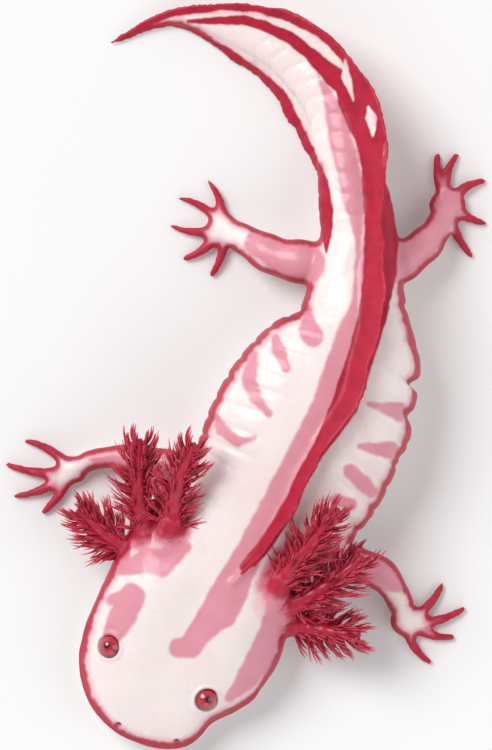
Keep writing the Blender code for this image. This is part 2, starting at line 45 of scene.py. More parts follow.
# The solids' stations, in millimetres: place in plan, height of the widest line, half width, reach above
# and below it, squareness, roll of the back, reach of the back and belly fins, lean of the back fin
body = {
    "plan": (0.21, 0.07),  # moves the stations so that the outline's middle is at the origin
    "columns": ("x", "y", "level", "half", "top", "under", "square", "roll", "back", "belly", "lean"),
    "rows": [
        (-27, -98.2, 6.2, 24.6, 5.6, 3.9, 2.3, 0, 0, 0, 0),
        (-22, -81.6, 7, 25, 9.4, 5.4, 2.3, 0, 0, 0, 0),
        (-15.6, -67.4, 8.4, 25.6, 12.4, 7, 2.3, 0, 0, 0, 0),
        (-10.3, -54.8, 9.6, 24.4, 13.6, 8.6, 2.3, 0, 13.6, 0, 0),
        (-1.6, -43.2, 10.6, 21.4, 14.4, 10.2, 2.3, 1, 17, 0, 0.5),
        (8.2, -31.4, 12, 25.2, 16, 12.3, 2.3, 3, 20.6, 0, 0.7),
        (18.4, -13.4, 13, 27, 17.6, 13.5, 2.4, 4, 22.6, 0, 0.8),
        (26.4, 2.4, 12.6, 23.6, 16.4, 13, 2.4, 4, 22, 0, 0.8),
        (30.2, 13.8, 12, 17.6, 14.6, 12.2, 2.3, 5, 21, 0, 0.8),
        (30, 27.8, 11.4, 12.6, 11.6, 11.2, 2.2, 8, 19, 0, 0.6),
        (30.3, 38.6, 11.4, 10.2, 10.6, 10.2, 2.1, 16, 17.8, 11, 0.3),
        (29, 47.2, 11.2, 9.8, 9.8, 9.2, 2, 28, 17.8, 12.8, 0.1),
        (25.7, 61, 11, 6.8, 8.2, 7.8, 2, 39, 19.6, 15.2, 0),
        (22.2, 71.9, 9.8, 5.2, 7.2, 6.8, 2, 46, 18.8, 14.8, 0),
        (12.2, 84, 8, 3.9, 5.6, 5.2, 2, 50, 16.4, 12.5, 0),
        (0, 91.3, 5.7, 2.8, 4, 3.7, 2, 52, 12.6, 9.3, 0),
        (-10.4, 95.2, 3.6, 2, 2.6, 2.4, 2, 52, 7.4, 5.6, 0),
        (-21.6, 96.2, 1.9, 1.3, 1.6, 1.5, 2, 50, 3.2, 2.6, 0),
        (-37.3, 89.6, 0.8, 0.5, 0.6, 0.6, 2, 46, 0.9, 0.8, 0),
    ],
    # how much further the left side reaches than the right one, where the animal bends
    "leftSide": [(0, 0), (3, -1.6), (6, -3.4), (9, -4.4), (12, -3.4), (15, -2.1), (20, -0.8), (27, 0.1),
                 (34, 1), (44, 0), (70, 0), (78, -0.9), (84, -0.9), (96, -1.8), (106, -1.6), (114, -2.2),
                 (122, -1.3), (129, -3.4), (136, -1.9), (144, 0), (256, 0)],
    "snoutWide": 27, "snoutDeep": 9, "snoutBlunt": 2.35, "snoutPush": 1.8, "pushRun": 9,
    "sides": 96, "ringStep": 1.25, "snoutRings": 26, "snoutRun": 20,
    "step": 0.25,  # spacing of the worked-out table
}

# How the skin is meshed, and how far from the mouth, eyes and nostrils it gets finer
skinMesh = {
    "voxel": 0.74, "smooth": 4, "finSmooth": 5,
    "fineMouth": 3.2, "fineEye": 3.25, "fineNostril": 2.6, "fineRounds": (1, 0.55),
}

fins = {
    "backStart": 41, "bellyStart": 146, "end": 252.5, "step": 1.25, "levels": 12,
    "root": 2.4, "edge": 0.62, "ripple": 0.75, "rippleLength": 33,
    # how far to the left of the middle line the back fin grows
    "side": [(41, 5), (52, 6.5), (61, 6.6), (68, 4.6), (75, 2.6), (82, 1.2), (91, 1.2), (99, 1.4),
             (107, 2), (118, 0.6), (130, 0), (256, 0)],
}

# Each path has places and radii, and each digit the place of its tip and its bend
legs = {
    "foreRight": {
        "path": [(-8.4, -31.1, 9.5, 5.4), (-15.7, -26.9, 9.4, 5), (-23.2, -23.8, 8.4, 4.2),
                 (-32.7, -22.2, 5.8, 3.5), (-41.6, -23, 3.3, 2.8), (-47, -25.7, 2.1, 2.4)],
        "foot": (-47.2, -25.8), "size": (4.6, 4),
        "digits": [(-60.5, -17.6, 1.5), (-65.6, -23.8, -1.6), (-63.5, -32.9, -1.6), (-55.6, -37.8, -1)],
    },
    "foreLeft": {
        "path": [(14.6, -47, 9.5, 5.6), (24, -50.4, 9.4, 5.2), (31.6, -51.6, 8.6, 4.8),
                 (37.4, -54.6, 6.6, 4.4), (41.2, -60.4, 3.9, 3.6), (43.6, -66.4, 2.3, 2.8)],
        "foot": (43.6, -66.6), "size": (4.8, 4.4),
        "digits": [(53.5, -56, 1.4), (59.9, -62.6, 1.8), (57, -70.9, 1.6), (50.6, -78.2, 2)],
    },
    "hindRight": {
        "path": [(26, 29.5, 10, 6.4), (16, 30.5, 9.6, 6), (8, 32, 8.4, 5.4),
                 (1.5, 35.6, 6, 4.6), (-3.4, 38.4, 3.6, 3.6), (-6.5, 39.7, 2.3, 2.8)],
        "foot": (-6.3, 39.8), "size": (4.8, 4.4),
        "digits": [(-10.8, 53.2, 1.6), (-18.9, 48.1, 1.8), (-21.1, 40.8, -1.6), (-17.4, 31.3, -1.4),
                   (-10, 26.3, -1.6)],
    },
    "hindLeft": {
        "path": [(32.5, 28, 10, 6.2), (41, 30.4, 9.8, 5.8), (47, 34, 8.6, 5),
                 (51, 38.4, 5.8, 4.2), (53.6, 42.8, 3.5, 3.6), (54.6, 45.6, 2.3, 2.9)],
        "foot": (54.6, 45.9), "size": (5.2, 4.8),
        "digits": [(52.1, 60.6, -1.4), (57.6, 60.4, -1.8), (65.3, 52.7, -1.6), (65.2, 41, 0.6),
                   (61.6, 31.6, 1.2)],
    },
}
foot = {
    "thick": 2.3, "sink": 0.35, "tipHeight": 0.8, "digitRadii": (1.8, 1.55, 1.6, 1.35, 1.4, 1.15, 1.1, 0.85),
}

# The ridges of the face have a height, a distance from the edge or line, and a width
eyes = {
    "right": (-37, -73.2), "left": (-10.6, -87.4), "radius": 3.6, "depth": 1.9, "socket": 1.6, "dome": 0.3,
    "ridges": [(0.32, 0.55, 0.42), (-0.12, 1.7, 0.6)],
}
mouth = {
    "corner": 25.5, "lift": 1.6, "depth": 1.15, "width": 0.34,
    "ridges": [(0.5, 0.95, 0.7), (0.34, -0.95, 0.75)],
}
nostrils = {
    "back": 2.4, "side": 8.2, "rise": 3.3, "radius": 0.75, "depth": 1.3, "ridges": [(0.22, 1.35, 0.5)],
}

gills = {
    "stalks": {  # root, bend, tip and the longest filament
        "gill_right_front": ((-26.4, -51, 9.5), (-37.5, -43.6, 12.5), (-45.2, -36.6, 17), 9),
        "gill_right_middle": ((-25, -49, 13.5), (-30.4, -33.6, 19.5), (-28.4, -17.6, 26), 9.5),
        "gill_right_rear": ((-21.4, -48, 17), (-20.2, -32, 27), (-14, -18.6, 34), 8.5),
        "gill_left_front": ((6.6, -66.6, 9.5), (20, -68.8, 12), (30.4, -70.2, 16.5), 9),
        "gill_left_middle": ((6.4, -64, 13.5), (19.4, -60.6, 19.5), (31, -49, 25.5), 9.5),
        "gill_left_rear": ((5, -61.6, 17), (13.2, -50.6, 27), (24.6, -36.2, 34), 9),
    },
    "radii": (3.5, 3.1, 2.7, 2.2, 1.6, 0.7), "start": 0.22, "thick": 0.37, "clump": 8, "seed": 11,
    # side, tilt, size and number of filaments
    "rows": [(-1, 0, 1, 96), (1, 0, 1, 96), (-1, 0.85, 0.72, 64), (1, 0.85, 0.72, 64)],
    # how far the clumps differ, and the filaments in a clump
    "clumps": {"lean": (-0.45, 0.25), "push": (-0.25, 0.35), "swell": (0.82, 1.15)},
    "jitter": {"spot": (-0.3, 0.3), "lean": (-0.35, 0.3), "push": (-0.12, 0.12), "size": (0.88, 1.08),
               "thick": (0.85, 1.15)},
    "low": 0.8, "high": 36,
}

# Markings, and pink bars of painted shade in the rib grooves, as streaks seen from above, in units of 0.27
# mm: place and half width along each streak
markingsAndShade = {
    "unit": 0.27, "origin": (246, 375), "seen": (0.25, 6), "rimSeen": (0.06, 3.5),
    "crimson": [
        [(243, 566, 4), (252, 559, 7), (265, 545, 7.3), (281, 520, 7.3), (292, 501, 7.7), (300, 480, 6.2),
         (318, 450, 7.6), (330, 430, 10), (344, 405, 13.4), (359, 361, 13.4), (372, 317, 14),
         (379, 273, 17), (381, 245, 17.4), (378, 225, 14), (377, 200, 14), (371, 165, 11), (371, 150, 13),
         (367, 128, 17), (356, 100, 18), (345, 85, 12), (328, 72, 9), (310, 54, 6.5), (289, 37, 6),
         (262, 25, 5), (243, 19.5, 4.6), (215, 20, 4), (188, 20.5, 2)],
        [(390, 170, 0.5), (391, 190, 5.5), (389, 206, 9), (388, 226, 10), (387, 244, 9.5), (386, 260, 4)],
        [(326, 253, 1), (327, 235, 5), (325, 210, 8), (322, 184, 6.5), (309, 151, 5.5), (300, 132, 5.5),
         (282, 96, 6), (257, 73, 5.5), (228, 51, 4.5), (210, 41, 3.5), (190, 29, 3), (170, 26, 4),
         (140, 29, 4), (109, 44, 1)],
        [(378, 140, 8), (376, 118, 8), (364, 92, 7), (344, 56, 5), (322, 34, 5), (290, 18, 5), (256, 7, 5),
         (221, 5, 5), (175, 11, 4), (136, 27, 3)],
    ],
    "windows": [
        [(345, 60, 1), (346, 77, 4.5), (353, 101, 1)],
        [(368, 108, 1), (371, 119, 5.5), (374, 142, 1)],
    ],
    "pink": [
        [(178, 648, 10), (190, 646, 12), (197, 636, 12), (210, 620, 15), (220, 610, 18), (230, 590, 18),
         (239, 572, 16), (245, 560, 14.5), (256, 540, 14.5), (281, 493, 14.5), (305, 447, 14.5),
         (326, 406, 14.5), (340, 364, 14.5), (349, 337, 14), (364, 308, 14), (368, 275, 14), (368, 260, 13),
         (364, 241, 9), (358, 220, 8.5), (353, 195, 12), (347, 160, 13), (339, 128, 12), (330, 100, 7),
         (324, 87, 4), (317, 74, 1)],
        [(112, 600, 6), (133, 596, 13), (124, 614, 14), (114, 632, 11)],
        [(118, 570, 6), (148, 560, 13), (162, 562, 14), (182, 546, 9)],
        [(229, 698, 5), (246, 680, 11), (259, 660, 14), (270, 636, 14), (276, 612, 11), (277, 590, 9),
         (278, 572, 6)],
        # pink bars across the flanks, four on each side: painted shade of the rib grooves
        [(309, 310, 2), (308, 330, 10), (312, 336, 11)],
        [(275, 338, 4), (280, 352, 7), (286, 368, 5)],
        [(254, 356, 5), (249, 380, 8), (256, 398, 6), (268, 413, 4)],
        [(217, 416, 3), (222, 430, 6), (238, 441, 5.5), (254, 438, 3)],
        [(367, 404, 2), (385, 408, 6), (400, 412, 10)],
        [(360, 446, 3), (378, 449, 7), (390, 450, 9)],
        [(350, 471, 7.5), (362, 482, 8), (371, 491, 6)],
        [(335, 499, 5.5), (350, 504, 6)],
    ],
    "limbPink": [
        [(256, 243, 12), (284, 256, 19), (306, 264, 20)],
        [(402, 264, 22), (424, 238, 19), (444, 208, 17), (456, 196, 12)],
        [(95, 455, 8), (130, 460, 13), (162, 464, 13)],
        [(318, 560, 16), (345, 568, 20), (372, 572, 18), (394, 580, 13)],
    ],
    "rim": {"head": 1.5, "trunk": 1.8, "tail": 1.6, "limb": 1.4},
}


def tell(stage):
    print("axolotl:", stage, flush=True)


def hermite(values, knots, at):  # smooth curve through values at knots, as in the solids
    at = min(max(at, knots[0]), knots[-1])
    i = next(k for k in range(len(knots) - 1) if at <= knots[k + 1])

    def slope(k):
        low, high = max(k - 1, 0), min(k + 1, len(knots) - 1)
        return (values[high] - values[low]) / (knots[high] - knots[low])

    span = knots[i + 1] - knots[i]
    u = (at - knots[i]) / span
    m, n = slope(i) * span, slope(i + 1) * span
    start, end = values[i], values[i + 1]
    return ((2 * u**3 - 3 * u**2 + 1) * start + (u**3 - 2 * u**2 + u) * m
            + (3 * u**2 - 2 * u**3) * end + (u**3 - u**2) * n)


def evenly(values, share):  # the same through evenly spaced values, by share of the whole
    last = len(values) - 1
    return hermite(values, range(last + 1), share * last)


def knotsOf(points):
    knots = [0.0]
    for a, b in zip(points, points[1:]):
        knots.append(knots[-1] + (Vector(b) - Vector(a)).length)
    return knots


def workOutBody():
    rows = body["rows"]
    knots = knotsOf([row[:2] for row in rows])
    at = np.arange(0.0, knots[-1] + body["step"], body["step"])
    at[-1] = knots[-1]
    table = {"s": at}
    for name, column in zip(body["columns"], zip(*rows)):
        table[name] = np.array([hermite(column, knots, s) for s in at])
    wide = 1 - (1 - np.minimum(at / body["snoutWide"], 1)) ** body["snoutBlunt"]
    creaseShade = 1 - (1 - np.minimum(at / body["snoutDeep"], 1)) ** 2
    table["half"] = table["half"] * wide ** (1 / body["snoutBlunt"])
    table["top"] = table["top"] * np.sqrt(creaseShade)
    table["under"] = table["under"] * np.sqrt(creaseShade)
    # the tip of the snout reaches a little further forward
    push = body["snoutPush"] * np.maximum(1 - at / body["pushRun"], 0) ** 2
    ahead = (Vector(rows[0][:2]) - Vector(rows[1][:2])).normalized()
    table["x"] += push * ahead.x
    table["y"] += push * ahead.y
    stations, reaches = zip(*body["leftSide"])
    left = np.array([hermite(reaches, stations, s) for s in at])
    table["leftShare"] = 1 + left / np.maximum(table["half"], 1)
    ahead = np.stack([np.gradient(table["x"]), np.gradient(table["y"])], 1)
    ahead /= np.linalg.norm(ahead, axis=1)[:, None]
    table["tx"], table["ty"] = ahead[:, 0], ahead[:, 1]
    return table


table = workOutBody()


def rowAt(s):
    return {name: float(np.interp(s, table["s"], table[name])) for name in table}


def axesAt(s):
    row = rowAt(s)
    roll = radians(row["roll"])
    left = Vector((row["ty"], -row["tx"], 0)).normalized()
    middle = Vector((row["x"], row["y"], row["level"]))
    return middle, left * cos(roll) - up * sin(roll), up * cos(roll) + left * sin(roll)


def place(s, side, rise):
    middle, left, back = axesAt(s)
    return middle + left * side + back * rise


def reachAt(row, side):  # half width to the left, where side is above zero, or to the right
    return row["half"] * (row["leftShare"] if side > 0 else 1)


def bodyRing(s):
    row = rowAt(s)
    middle, left, back = axesAt(s)
    ring = []
    for k in range(body["sides"]):
        angle = tau * k / body["sides"]
        c, n = cos(angle), sin(angle)
        side = reachAt(row, c) * copysign(abs(c) ** (2 / row["square"]), c)
        reach = row["top"] if n > 0 else row["under"]
        point = middle + left * side + back * reach * copysign(abs(n) ** (2 / row["square"]), n)
        point.z = max(point.z, 0)
        ring.append(point)
    return ring


def nextRing(bm, ring, points):  # extrudes a closed ring of vertices to new points, in the same order
    edges = [bm.edges.get((a, b)) for a, b in zip(ring, ring[1:] + ring[:1])]
    made = bmesh.ops.extrude_edge_only(bm, edges=edges)["geom"]
    old, grown = set(ring), {}
    for vert in (g for g in made if isinstance(g, bmesh.types.BMVert)):
        for edge in vert.link_edges:
            if edge.other_vert(vert) in old:
                grown[edge.other_vert(vert)] = vert
    for vert, point in zip(ring, points):
        grown[vert].co = point
    return [grown[vert] for vert in ring]


def loft(rings):
    bm = bmesh.new()
    circle = bmesh.ops.create_circle(bm, segments=len(rings[0]), radius=1)["verts"]
    for vert, point in zip(circle, rings[0]):
        vert.co = point
    ring = circle
    for points in rings[1:]:
        ring = nextRing(bm, ring, points)
    bmesh.ops.contextual_create(bm, geom=circle)
    bmesh.ops.contextual_create(bm, geom=ring)
    bmesh.ops.recalc_face_normals(bm, faces=bm.faces)
    return bm


def meshFrom(bm, name):
    mesh = bpy.data.meshes.new(name)
    bm.to_mesh(mesh)
    bm.free()
    return mesh


def addObject(name, data):
    obj = bpy.data.objects.new(name, data)
    bpy.context.scene.collection.objects.link(obj)
    return obj


def directions(points):
    last = len(points) - 1
    return [(points[min(k + 1, last)] - points[max(k - 1, 0)]).normalized() for k in range(last + 1)]


def tube(points, radii, sides, flat=1.0):
    rings = []
    for point, radius, along in zip(points, radii, directions(points)):
        side = along.cross(up).normalized()
        rise = side.cross(along)
        ring = []
        for j in range(sides):
            turned = tau * j / sides
            ring.append(point + side * radius * cos(turned) + rise * radius * flat * sin(turned))
        rings.append(ring)
    return loft(rings)


def roundedTube(points, radii, sides, flat=1.0):  # the same with both ends domed
    first, last = directions(points)[0], directions(points)[-1]
    dome = [(0.95, 0.3), (0.75, 0.65), (0.35, 0.92)]
    head = [(points[0] - first * radii[0] * out, radii[0] * size) for size, out in dome][::-1]
    tail = [(points[-1] + last * radii[-1] * out, radii[-1] * size) for size, out in dome]
    line = head + list(zip(points, radii)) + tail
    return tube([p for p, _ in line], [r for _, r in line], sides, flat)


def bezier(a, b, c, u):
    return a * (1 - u) ** 2 + b * 2 * u * (1 - u) + c * u**2


def ease(value):
    value = np.clip(value, 0.0, 1.0)
    return value * value * (3 - 2 * value)


def trunkMesh():  # head, trunk and tail as one loft
    run, count = body["snoutRun"], body["snoutRings"]
    places = [0.04 + run * (k / count) ** 2 for k in range(count)]
    places += list(np.arange(run, table["s"][-1], body["ringStep"]))
    return loft([bodyRing(float(s)) for s in places])


def finRing(s, belly):
    row = rowAt(s)
    middle, left, back = axesAt(s)
    places, sides = zip(*fins["side"])
    sign, core, reach, lean, shift = 1, row["top"], row["back"], row["lean"], hermite(sides, places, s)
    if belly:
        sign, core, reach, lean, shift = -1, row["under"], row["belly"], 0, 0
    start = core * 0.55
    rim = max(reach, core * 0.82)
    root = min(fins["root"], row["half"] * 0.6)
    tall = min(max((rim - core) / 6, 0), 1)
    wave = tau * s / fins["rippleLength"]
    ripple = fins["ripple"] * tall * (sin(wave) + 0.45 * sin(2.7 * wave + 1))
    near, far = [], []
    for k in range(fins["levels"]):
        t = k / (fins["levels"] - 1)
        rise = start + (rim - start) * t
        thick = fins["edge"] + (root - fins["edge"]) * (1 - t) ** 2.4
        if k == fins["levels"] - 1:
            thick *= 0.8
        slant = shift + lean * max(rise - core, 0) + ripple * t**3
        near.append(middle + left * (slant + thick) + back * sign * rise)
        far.append(middle + left * (slant - thick) + back * sign * rise)
    ring = near + far[::-1]
    for point in ring:
        point.z = max(point.z, 0)
    return ring


def finMesh(belly):
    start = fins["bellyStart"] if belly else fins["backStart"]
    return loft([finRing(float(s), belly) for s in np.arange(start, fins["end"], fins["step"])])


def legLine(leg, count):
    knots = knotsOf([p[:3] for p in leg["path"]])
    line = []
    for k in range(count + 1):
        values = [hermite(column, knots, knots[-1] * k / count) for column in zip(*leg["path"])]
        line.append((Vector(values[:3]), values[3]))
    return line


def digitLine(leg, spot, count):
    start = Vector((*leg["foot"], foot["thick"] * 0.6))
    end = Vector((spot[0], spot[1], foot["tipHeight"]))
    out = (end - start).normalized()
    bend = (start + end) / 2 + out.cross(up) * spot[2] * 2 + up * 1.1
    return [bezier(start, bend, end, k / count) for k in range(count + 1)]


def legMeshes(leg):
    line = legLine(leg, 26)
    swell = [1 + 0.05 * sin(k * 0.9) for k in range(len(line))]
    made = [roundedTube([p for p, _ in line], [r * w for (_, r), w in zip(line, swell)], 24)]
    palm = bmesh.new()
    bmesh.ops.create_uvsphere(palm, u_segments=24, v_segments=14, radius=1)
    centre = Vector((*leg["foot"], foot["thick"] - foot["sink"]))
    palm.transform(Matrix.Translation(centre) @ Matrix.Diagonal((*leg["size"], foot["thick"], 1)))
    made.append(palm)
    for spot in leg["digits"]:
        points = digitLine(leg, spot, 16)[:-1]
        radii = [evenly(foot["digitRadii"], k / 15) * 1.06 for k in range(16)]
        made.append(roundedTube(points, radii, 12, 0.88))
        # a web of skin between the roots of the toes
        web = [points[0], points[3], points[5]]
        made.append(roundedTube(web, [2.3, 2.0, 1.6], 12, 0.5))
    return made


def gillLine(name, count, low=0.0):
    root, bend, tip, _ = gills["stalks"][name]
    root, bend, tip = Vector(root), Vector(bend), Vector(tip)
    return [bezier(root, bend, tip, low + (1 - low) * k / count) for k in range(count + 1)]


def collarMeshes():  # the fleshy root of each gill, part of the skin
    made = []
    for name in gills["stalks"]:
        points = gillLine(name, 20)[:9]
        radii = [evenly(gills["radii"], k / 20) * (1.36 - 0.05 * k) for k in range(9)]
        made.append(roundedTube(points, radii, 20))
    return made


def roughSkin():
    whole = bmesh.new()
    parts = [trunkMesh(), finMesh(False), finMesh(True)] + collarMeshes()
    for leg in legs.values():
        parts += legMeshes(leg)
    for part in parts:
        mesh = meshFrom(part, "part")
        whole.from_mesh(mesh)
        bpy.data.meshes.remove(mesh)
    obj = addObject("skinDraft", meshFrom(whole, "skinDraft"))
    remesh = obj.modifiers.new("remesh", "REMESH")
    remesh.mode = "VOXEL"
    remesh.voxel_size = skinMesh["voxel"]
    mesh = bpy.data.meshes.new_from_object(obj.evaluated_get(bpy.context.evaluated_depsgraph_get()))
    bpy.data.objects.remove(obj)
    return mesh


def mouthLine(count=60):  # from the right corner round the front to the left one
    run = [mouth["corner"] * (k / count) ** 1.8 + 0.05 for k in range(count, 0, -1)]
    halves = []
    for sign in (-1, 1):
        half = []
        for s in run:
            row = rowAt(s)
            lift = mouth["lift"] * float(ease((s - 12) / (mouth["corner"] - 12)))
            angle = asin(min((lift / row["top"]) ** (row["square"] / 2), 1)) if lift > 0 else 0
            half.append(place(s, sign * reachAt(row, sign) * cos(angle) ** (2 / row["square"]), lift))
        halves.append(half)
    return halves[0] + halves[1][::-1]


def surfaceAt(x, y):  # point and outward direction of the head's top over a place in plan
    spot = Vector((x, y, 0))
    best = min(np.arange(4, 46, 0.25), key=lambda s: abs((spot - place(s, 0, 0)).dot(
        Vector((rowAt(s)["tx"], rowAt(s)["ty"], 0)))))
    row = rowAt(best)
    middle, left, _ = axesAt(best)
    side = (spot - middle).dot(left)

    def top(at):
        return row["top"] * (1 - abs(at / reachAt(row, at)) ** row["square"]) ** (1 / row["square"])

    slope = top(side + 0.5) - top(side - 0.5)
    return place(best, side, top(side)), (up - left * slope).normalized()


def eyeFrame(which):
    point, out = surfaceAt(*eyes[which])
    return point - out * eyes["depth"], out


def nostrilAt(sign):
    return place(nostrils["back"], sign * nostrils["side"], nostrils["rise"])


def nearTree(points):
    tree = kdtree.KDTree(len(points))
    for k, point in enumerate(points):
        tree.insert(point, k)
    tree.balance()
    return tree


def flat(places):
    return [Vector((x, y, 0)) for x, y in places]


def nearest(tree, points):
    found = [tree.find(p) for p in points]
    return np.array([f[1] for f in found]), np.array([f[2] for f in found])


def refineFace(bm):  # finer faces along the mouth and round the eyes and nostrils
    line = nearTree(mouthLine())
    for reach in skinMesh["fineRounds"]:
        spots = [(eyeFrame(which)[0], skinMesh["fineEye"] * (1 + reach)) for which in ("left", "right")]
        spots += [(nostrilAt(sign), skinMesh["fineNostril"] * reach) for sign in (-1, 1)]
        near = set()
        for vert in bm.verts:
            if vert.co.y < -55 and (line.find(vert.co)[2] < skinMesh["fineMouth"] * reach
                                    or any((vert.co - spot).length < far for spot, far in spots)):
                near.add(vert)
        edges = [edge for edge in bm.edges if edge.verts[0] in near and edge.verts[1] in near]
        bmesh.ops.subdivide_edges(bm, edges=edges, cuts=1, use_grid_fill=True)


def bodyCoordinates(points):  # for each point: place along the body, reach along the back, reach across
    index, _ = nearest(nearTree(flat(zip(table["x"], table["y"]))), flat(points[:, :2]))
    tx, ty = table["tx"][index], table["ty"][index]
    dx, dy = points[:, 0] - table["x"][index], points[:, 1] - table["y"][index]
    s = np.clip(table["s"][index] + dx * tx + dy * ty, 0, table["s"][-1])
    offset = dx * ty - dy * tx
    roll = np.radians(table["roll"][index])
    rise = points[:, 2] - table["level"][index]
    back = offset * np.sin(roll) + rise * np.cos(roll)
    across = offset * np.cos(roll) - rise * np.sin(roll)
    return s, back, across


def read(name, s):
    return np.interp(s, table["s"], table[name])


def halfAt(s, across):
    return read("half", s) * np.where(across > 0, read("leftShare", s), 1)


def finShare(s, back, gap, bellyStart):  # 0 on the body, 1 on the fins
    upper = ease((back - read("top", s) - gap) / 2)
    lower = ease((-back - read("under", s) - gap) / 2) * (s > bellyStart)
    return np.clip(upper + lower, 0, 1)


def bump(distance, width):
    return np.exp(-(distance / width) ** 2)


def ridges(offset, rows):
    return sum(height * bump(offset - where, width) for height, where, width in rows)


def noiseAt(points, size, seed=0.0):
    lift = Vector((seed, seed * 1.7, seed * 0.3))
    return np.array([noise.noise(Vector(p) / size + lift) for p in points])


relief = {  # in millimetres; places are measured along the body from the snout
    "ribs": {"start": 64, "gap": 6.3, "slant": 0.16, "width": 0.85, "depth": 0.62, "swell": 0.22},
    "chevrons": {"start": 150, "gap": 5.2, "slant": 0.45, "width": 0.7, "depth": 0.24},
    "flankFolds": [(102.8, 0.7, 1.5), (112.4, 1.5, 1.7), (119.8, 2.4, 1.2)],  # place, depth, width
    "throatFolds": [(50.5, 0.9, 1.1), (57, 0.5, 0.9), (62, 0.35, 0.8)],
    "skullGroove": (0.75, 4.5),  # depth, width
    # place, stretch, side, width, height
    "headSwellings": [(37, 1.5, 13, 6, 1), (9, 1.2, 10, 5, 0.55)],
    "lumps": [(7, 0.22, 0), (2.6, 0.09, 5)],  # size, height, seed
    "rays": {"height": 0.055, "perMillimetre": 3.1},
}


def grooves(kind, s, bend):  # repeated grooves across the body, and the number of each
    made = relief[kind]
    phase = (s + made["slant"] * np.abs(bend) - made["start"]) / made["gap"]
    return bump((phase - np.round(phase)) * made["gap"], made["width"]), np.round(phase)


def carve(points, s, back, across, limb):
    half, top, under = halfAt(s, across), read("top", s), read("under", s)
    share = np.clip(np.abs(across) / np.maximum(half, 0.5), 0, 1.4)
    onBody = (1 - limb) * ease((1.25 - share) / 0.15) * ease((top + 0.8 - back) / 1.2)
    move = np.zeros(len(s))
    # grooves between the ribs slant back towards the belly and fade out under it
    ribs = relief["ribs"]
    groove, number = grooves("ribs", s, across)
    groove *= (0.8 + 0.2 * np.sin(number * 2.4)) * (0.3 + 0.7 * ease((back + 7) / 7))
    onRibs = ease((s - 66) / 8) * ease((142 - s) / 10) * onBody
    move -= ribs["depth"] * groove * ease((share - 0.34) / 0.3) * onRibs
    move += ribs["swell"] * ease((share - 0.4) / 0.3) * onRibs
    # deep folds of the left flank
    for where, depth, width in relief["flankFolds"]:
        fold = bump(s + 0.1 * across - where, width) * ease((share - 0.6) / 0.4) * (across > 0)
        move -= depth * fold * onBody
    # muscle chevrons down the tail
    groove, _ = grooves("chevrons", s, back)
    onTail = ease((s - 148) / 10) * ease((226 - s) / 20) * onBody
    move -= relief["chevrons"]["depth"] * groove * onTail
    # folds of the throat and behind the head
    lower = ease(-back / np.maximum(under, 1) + 0.5)
    for where, depth, width in relief["throatFolds"]:
        move -= depth * bump(s - where - 0.12 * np.abs(across), width) * onBody * (0.22 + 0.78 * lower)
    # the skull: a shallow groove along the middle, swellings over the jaw muscles and before the eyes
    onHead = ease((47 - s) / 6) * ease((back + 1) / 3)
    depth, width = relief["skullGroove"]
    move -= depth * bump(across, width) * ease((s - 14) / 8) * onHead
    for where, stretch, side, width, height in relief["headSwellings"]:
        for sign in (-1, 1):
            move += height * bump(np.hypot((s - where) / stretch, across - sign * side), width) * onHead
    # soft unevenness of living skin, and fine rays in the fins
    fin = finShare(s, back, 0.5, 150)
    for size, height, seed in relief["lumps"]:
        move += height * noiseAt(points, size, seed) * (1 - 0.85 * fin) * (1 - 0.55 * limb)
    rays = relief["rays"]
    ray = np.sin(s * rays["perMillimetre"] + 0.6 * np.sin(s * 0.7) + 0.05 * back)
    return move + rays["height"] * ray * fin * (1 - limb)


# carves the mouth, eyes and nostrils, and returns with the move a field of painted shade that darkens the
# mouth groove, a thin ring at the edge of each eye socket and the nostrils
def carveFace(points):
    move = np.zeros(len(points))
    creaseShade = np.zeros(len(points))
    line = mouthLine()
    tree = nearTree(line)
    ways = directions(line)
    total = len(line) - 1
    face = np.nonzero(points[:, 1] < -60)[0]
    index, distance = nearest(tree, points[face])
    for i, k, far in zip(face, index, distance):
        if far > 6:
            continue
        out = ways[k].cross(up).normalized()
        rise = out.cross(ways[k]).normalized()
        offset = (Vector(points[i]) - line[k]).dot(rise)
        reach = min(max(far * far - offset * offset, 0), 100) ** 0.5
        fade = float(ease(min(k, total - k) / 7)) * float(ease((2.4 - reach) / 1.4))
        groove = bump(offset, mouth["width"])
        move[i] += (ridges(offset, mouth["ridges"]) - mouth["depth"] * groove) * fade
        creaseShade[i] = max(creaseShade[i], groove * fade)
    for which in ("left", "right"):
        centre, out = eyeFrame(which)
        relative = points - np.array(centre)
        height = relative @ np.array(out)
        radial = np.linalg.norm(relative - height[:, None] * np.array(out), axis=1)
        near = (np.abs(height) < 6) & (radial < 8)
        showing = sqrt(eyes["radius"] ** 2 - eyes["depth"] ** 2)
        past = radial - showing
        change = ridges(past, eyes["ridges"]) - eyes["socket"] * ease((-past - 0.05) / 0.5)
        move += np.where(near, change, 0)
        # painted shade in a thin ring where the eye meets its socket
        creaseShade = np.maximum(creaseShade, np.where(near, 0.4 * bump(past - 0.1, 0.3), 0))
    for sign in (-1, 1):
        far = np.linalg.norm(points - np.array(nostrilAt(sign)), axis=1)
        move += ridges(far, nostrils["ridges"]) - nostrils["depth"] * bump(far, nostrils["radius"])
        # painted shade inside the nostrils
        creaseShade = np.maximum(creaseShade, bump(far, nostrils["radius"] * 0.8))
    return move, creaseShade


def streakField(streaks, points):  # how far inside the nearest streak each point lies, in millimetres
    unit, origin = markingsAndShade["unit"], markingsAndShade["origin"]
    x, y = points[:, 0] / unit + origin[0], origin[1] - points[:, 1] / unit
    best = np.full(len(points), -40.0)
    for streak in streaks:
        for (ax, ay, first), (bx, by, last) in zip(streak, streak[1:]):
            run = ((x - ax) * (bx - ax) + (y - ay) * (by - ay)) / ((bx - ax) ** 2 + (by - ay) ** 2)
            run = np.clip(run, 0, 1)
            far = np.hypot(x - ax - run * (bx - ax), y - ay - run * (by - ay))
            best = np.maximum(best, first + (last - first) * run - far)
    return best * unit


